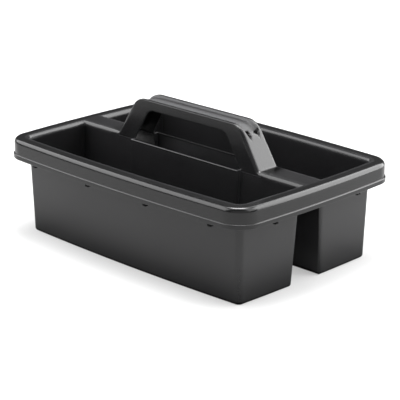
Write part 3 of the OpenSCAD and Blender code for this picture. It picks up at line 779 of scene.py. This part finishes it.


# Moulded black plastic. Colour: between two near blacks by a soft noise, toward a lighter colour
# on worn convex edges and where light is painted, toward near black where shade is painted and
# toward grey where light is painted in the hollow. Roughness: a level plus a soft noise, more on
# the grip, less on worn edges. Specular level: its value, less the share of painted shade where the
# look is shaded. Bump: fine grain over slow waves.
def blackPlastic(name, look):
    material = bpy.data.materials.new(name)
    material.use_nodes = True
    tree = material.node_tree
    link = tree.links.new
    shader = tree.nodes["Principled BSDF"]
    place = makeNode(tree, "ShaderNodeTexCoord", {}).outputs["Object"]

    def node(kind, **values):
        return makeNode(tree, kind, values)

    def noise(scale, detail, roughness):
        texture = node("ShaderNodeTexNoise", Scale=scale, Detail=detail, Roughness=roughness)
        link(place, texture.inputs["Vector"])
        return texture.outputs["Fac"]

    def markOf(mark):
        return node("ShaderNodeAttribute", attribute_name=mark).outputs["Fac"]

    # Mix from a socket to a colour, by a factor.
    def toward(factor, base, colour):
        mix = node("ShaderNodeMix", data_type="RGBA")
        mix.inputs["B"].default_value = (*colour, 1)
        link(factor, mix.inputs["Factor"])
        if base is not None:
            link(base, mix.inputs["A"])
        return mix

    # A socket times a number, plus a number or another socket.
    def timesPlus(value, factor, plus):
        total = node("ShaderNodeMath", operation="MULTIPLY_ADD")
        total.inputs[1].default_value = factor
        link(value, total.inputs[0])
        if isinstance(plus, float):
            total.inputs[2].default_value = plus
        else:
            link(plus, total.inputs[2])
        return total.outputs["Value"]

    grain = noise(look["grainScale"], 3.0, 0.6)
    cloud = noise(24.0, 4.0, 0.55)
    wave = noise(9.0, 1.0, 0.4)
    rub = noise(70.0, 5.0, 0.65)
    edge = node("ShaderNodeMapRange", **look["edgeRange"])
    link(markOf("convex"), edge.inputs["Value"])
    wornAndLit = node("ShaderNodeMath", operation="MULTIPLY")
    link(edge.outputs["Result"], wornAndLit.inputs[0])
    link(rub, wornAndLit.inputs[1])
    wornAndLit = wornAndLit.outputs["Value"]
    # The foot mark is painted shade, which darkens the colour and the specular level.
    shade = markOf("foot")

    tint = toward(cloud, None, look["light"])
    tint.inputs["A"].default_value = (*look["dark"], 1)
    # Painted light from the marks, plus wear on convex edges.
    litAndWorn = timesPlus(markOf("paintedLight"), look["paintedLightMix"], wornAndLit)
    wearAndLight = toward(litAndWorn, tint.outputs["Result"], look["wornAndLit"])
    low = toward(shade, wearAndLight.outputs["Result"], look["shade"])
    # Light painted in the handle's hollow, as a grey.
    pale = toward(markOf("hollowLight"), low.outputs["Result"], look["hollowLight"])
    link(pale.outputs["Result"], shader.inputs["Base Color"])

    shader.inputs["Specular IOR Level"].default_value = look["specular"]
    if look["shaded"]:
        dull = timesPlus(shade, -look["specular"], look["specular"])
        link(dull, shader.inputs["Specular IOR Level"])

    soft = timesPlus(cloud, look["roughRange"], look["rough"] - look["roughRange"] / 2)
    matt = timesPlus(markOf("grip"), look["gripRough"], soft)
    link(timesPlus(wornAndLit, -look["polish"], matt), shader.inputs["Roughness"])

    bumpSlow = node("ShaderNodeBump", Strength=0.25, Distance=0.0012)
    bumpFine = node("ShaderNodeBump", Strength=look["grain"], Distance=0.00012)
    link(wave, bumpSlow.inputs["Height"])
    link(grain, bumpFine.inputs["Height"])
    link(bumpSlow.outputs["Normal"], bumpFine.inputs["Normal"])
    link(bumpFine.outputs["Normal"], shader.inputs["Normal"])
    shader.inputs["IOR"].default_value = 1.5
    return material


# Of these colours, 0.04 serves both edge wear and painted light, the near black 0.002 is painted shade
# and the grey 0.11 is light painted in the handle's hollow.
plain = {
    "dark": (0.0085, 0.0085, 0.009), "light": (0.0135, 0.0135, 0.0142),
    "wornAndLit": (0.04, 0.04, 0.042), "shade": (0.002, 0.002, 0.002), "hollowLight": (0.11, 0.11, 0.115),
    "rough": 0.25, "roughRange": 0.1, "polish": 0.05, "gripRough": 0.32, "paintedLightMix": 0.9,
    "grain": 0.16, "grainScale": 700.0, "specular": 0.5, "shaded": True,
    "edgeRange": {"From Min": 0.1, "From Max": 0.75, "To Min": 0.0, "To Max": 1.0},
}
looks = {
    # A lighter copy of the plastic, for painted light in the shaded tubs.
    "tub_plastic": {
        **plain, "dark": (0.011, 0.011, 0.0116), "light": (0.0165, 0.0165, 0.0173), "rough": 0.24,
    },
    # A darker copy of the plastic, for painted shade on the rim.
    "rim_plastic": {
        **plain, "dark": (0.004, 0.004, 0.0042), "light": (0.007, 0.007, 0.0074), "rough": 0.21,
        "shaded": False,
    },
    "handle_plastic": plain,
    # Near black and dull: painted shade on the ribs under the rim.
    "rib_plastic": {
        **plain, "dark": (0.001, 0.001, 0.001), "light": (0.002, 0.002, 0.002), "rough": 0.5,
        "specular": 0.04, "shaded": False,
    },
}
materials = {slotName: blackPlastic(slotName, look) for slotName, look in looks.items()}
print("materials made", len(materials))

for name, spec in pieces.items():
    piece = spec["build"](name)
    piece.data.materials.append(materials[spec["slot"]])
    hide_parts(*spec["nodes"])
    print("piece", name, len(piece.data.polygons))

# Studio. The glow of the floor rises between two distances in metres, and each lamp has a bearing
# and a height angle in degrees, a distance, a width and a depth in metres, and a power in watts.
studio = {
    "floorReach": 6.0, "floorColour": (0.37, 0.37, 0.37), "floorRough": 0.9,
    "glowFrom": (0.6, 1.8), "glow": (0.4, 1.0), "worldLevel": 0.08, "aim": (0, 0, 0.09),
    "lamps": {
        "rear_right": (150, 24, 2.0, 2.0, 2.1, 82),
        "right": (101, 36, 2.0, 1.3, 1.5, 16),
        "rear": (194, 46, 2.0, 1.0, 0.7, 7),
        "left": (-52, 33.5, 2.0, 3.1, 1.7, 64),
        "front": (47, 14, 2.2, 3.0, 1.0, 5),
        "top": (47, 89, 2.0, 2.0, 2.0, 32),
        "overhead": (-133, 88, 1.9, 1.0, 1.0, 48),
    },
}
view = {
    "lens": 143.1, "sensor": 36.0, "place": (1.287816, -1.301639, 0.682130),
    "right": (0.71217, 0.70200, 0.00332), "up": (-0.22961, 0.22846, 0.94609),
    "back": (0.66340, -0.67454, 0.32388),
}


# Flat stage: one large quad, pale, lit toward the camera only, by a glow that rises with distance
# from the middle, so that it stays near white and keeps the shadow on it.
def paleFloor():
    reach = studio["floorReach"]
    corners = [(-reach, -reach, 0), (reach, -reach, 0), (reach, reach, 0), (-reach, reach, 0)]
    mesh = bpy.data.meshes.new("pale_floor")
    mesh.from_pydata(corners, [], [(0, 1, 2, 3)])
    floor = bpy.data.objects.new("pale_floor", mesh)
    bpy.context.scene.collection.objects.link(floor)
    material = bpy.data.materials.new("pale_floor")
    material.use_nodes = True
    tree = material.node_tree
    shader = tree.nodes["Principled BSDF"]
    shader.inputs["Base Color"].default_value = (*studio["floorColour"], 1)
    shader.inputs["Roughness"].default_value = studio["floorRough"]
    shader.inputs["Specular IOR Level"].default_value = 0.0
    (near, far), (least, most) = studio["glowFrom"], studio["glow"]
    limits = {"From Min": near, "From Max": far, "To Min": least, "To Max": most}
    place = makeNode(tree, "ShaderNodeTexCoord", {})
    away = makeNode(tree, "ShaderNodeVectorMath", {"operation": "LENGTH"})
    rise = makeNode(tree, "ShaderNodeMapRange", limits)
    glow = makeNode(tree, "ShaderNodeEmission", {})
    lit = makeNode(tree, "ShaderNodeAddShader", {})
    link = tree.links.new
    link(place.outputs["Object"], away.inputs[0])
    link(away.outputs["Value"], rise.inputs["Value"])
    link(rise.outputs["Result"], glow.inputs["Strength"])
    link(shader.outputs["BSDF"], lit.inputs[0])
    link(glow.outputs["Emission"], lit.inputs[1])
    cameraOnly(tree, shader.outputs["BSDF"], lit.outputs["Shader"], "Material Output")
    mesh.materials.append(material)


# Two shaders into an output: the first to light and reflections, the second to the camera.
def cameraOnly(tree, unseen, seen, output):
    path = makeNode(tree, "ShaderNodeLightPath", {})
    shown = makeNode(tree, "ShaderNodeMixShader", {})
    tree.links.new(path.outputs["Is Camera Ray"], shown.inputs["Fac"])
    tree.links.new(unseen, shown.inputs[1])
    tree.links.new(seen, shown.inputs[2])
    tree.links.new(shown.outputs["Shader"], tree.nodes[output].inputs["Surface"])


# World: white to the camera, a dim even grey to everything else.
def softWorld(level):
    world = bpy.data.worlds.new("studio")
    bpy.context.scene.world = world
    world.use_nodes = True
    tree = world.node_tree
    white = (1, 1, 1, 1)
    sky = tree.nodes["Background"]
    sky.inputs["Color"].default_value = white
    sky.inputs["Strength"].default_value = level
    seen = makeNode(tree, "ShaderNodeBackground", {"Color": white, "Strength": 1.0})
    cameraOnly(tree, sky.outputs["Background"], seen.outputs["Background"], "World Output")


# Soft box: an area light at a bearing, a height angle and a distance from the middle of the
# object, aimed at that middle.
def softBox(name, bearing, height, distance, width, depth, power):
    light = bpy.data.lights.new(name, "AREA")
    light.shape = "RECTANGLE"
    light.size, light.size_y, light.energy = width, depth, power
    holder = bpy.data.objects.new(name, light)
    bpy.context.scene.collection.objects.link(holder)
    b, h = np.radians(bearing), np.radians(height)
    toward = Vector((np.sin(b) * np.cos(h), -np.cos(b) * np.cos(h), np.sin(h)))
    holder.location = Vector(studio["aim"]) + toward * distance
    holder.rotation_euler = toward.to_track_quat("Z", "Y").to_euler()


# Camera: right, up and back directions as the columns of its rotation, at its place in metres.
def placeCamera():
    data = bpy.data.cameras.new("camera")
    data.lens = view["lens"]
    data.sensor_width = view["sensor"]
    data.clip_end = 50
    camera = bpy.data.objects.new("camera", data)
    bpy.context.scene.collection.objects.link(camera)
    turn = Matrix((view["right"], view["up"], view["back"])).transposed().to_4x4()
    camera.matrix_world = Matrix.Translation(view["place"]) @ turn
    bpy.context.scene.camera = camera


paleFloor()
softWorld(studio["worldLevel"])
for name, lamp in studio["lamps"].items():
    softBox(name, *lamp)
placeCamera()
bpy.context.scene.view_settings.view_transform = "Standard"
print("studio and camera set")
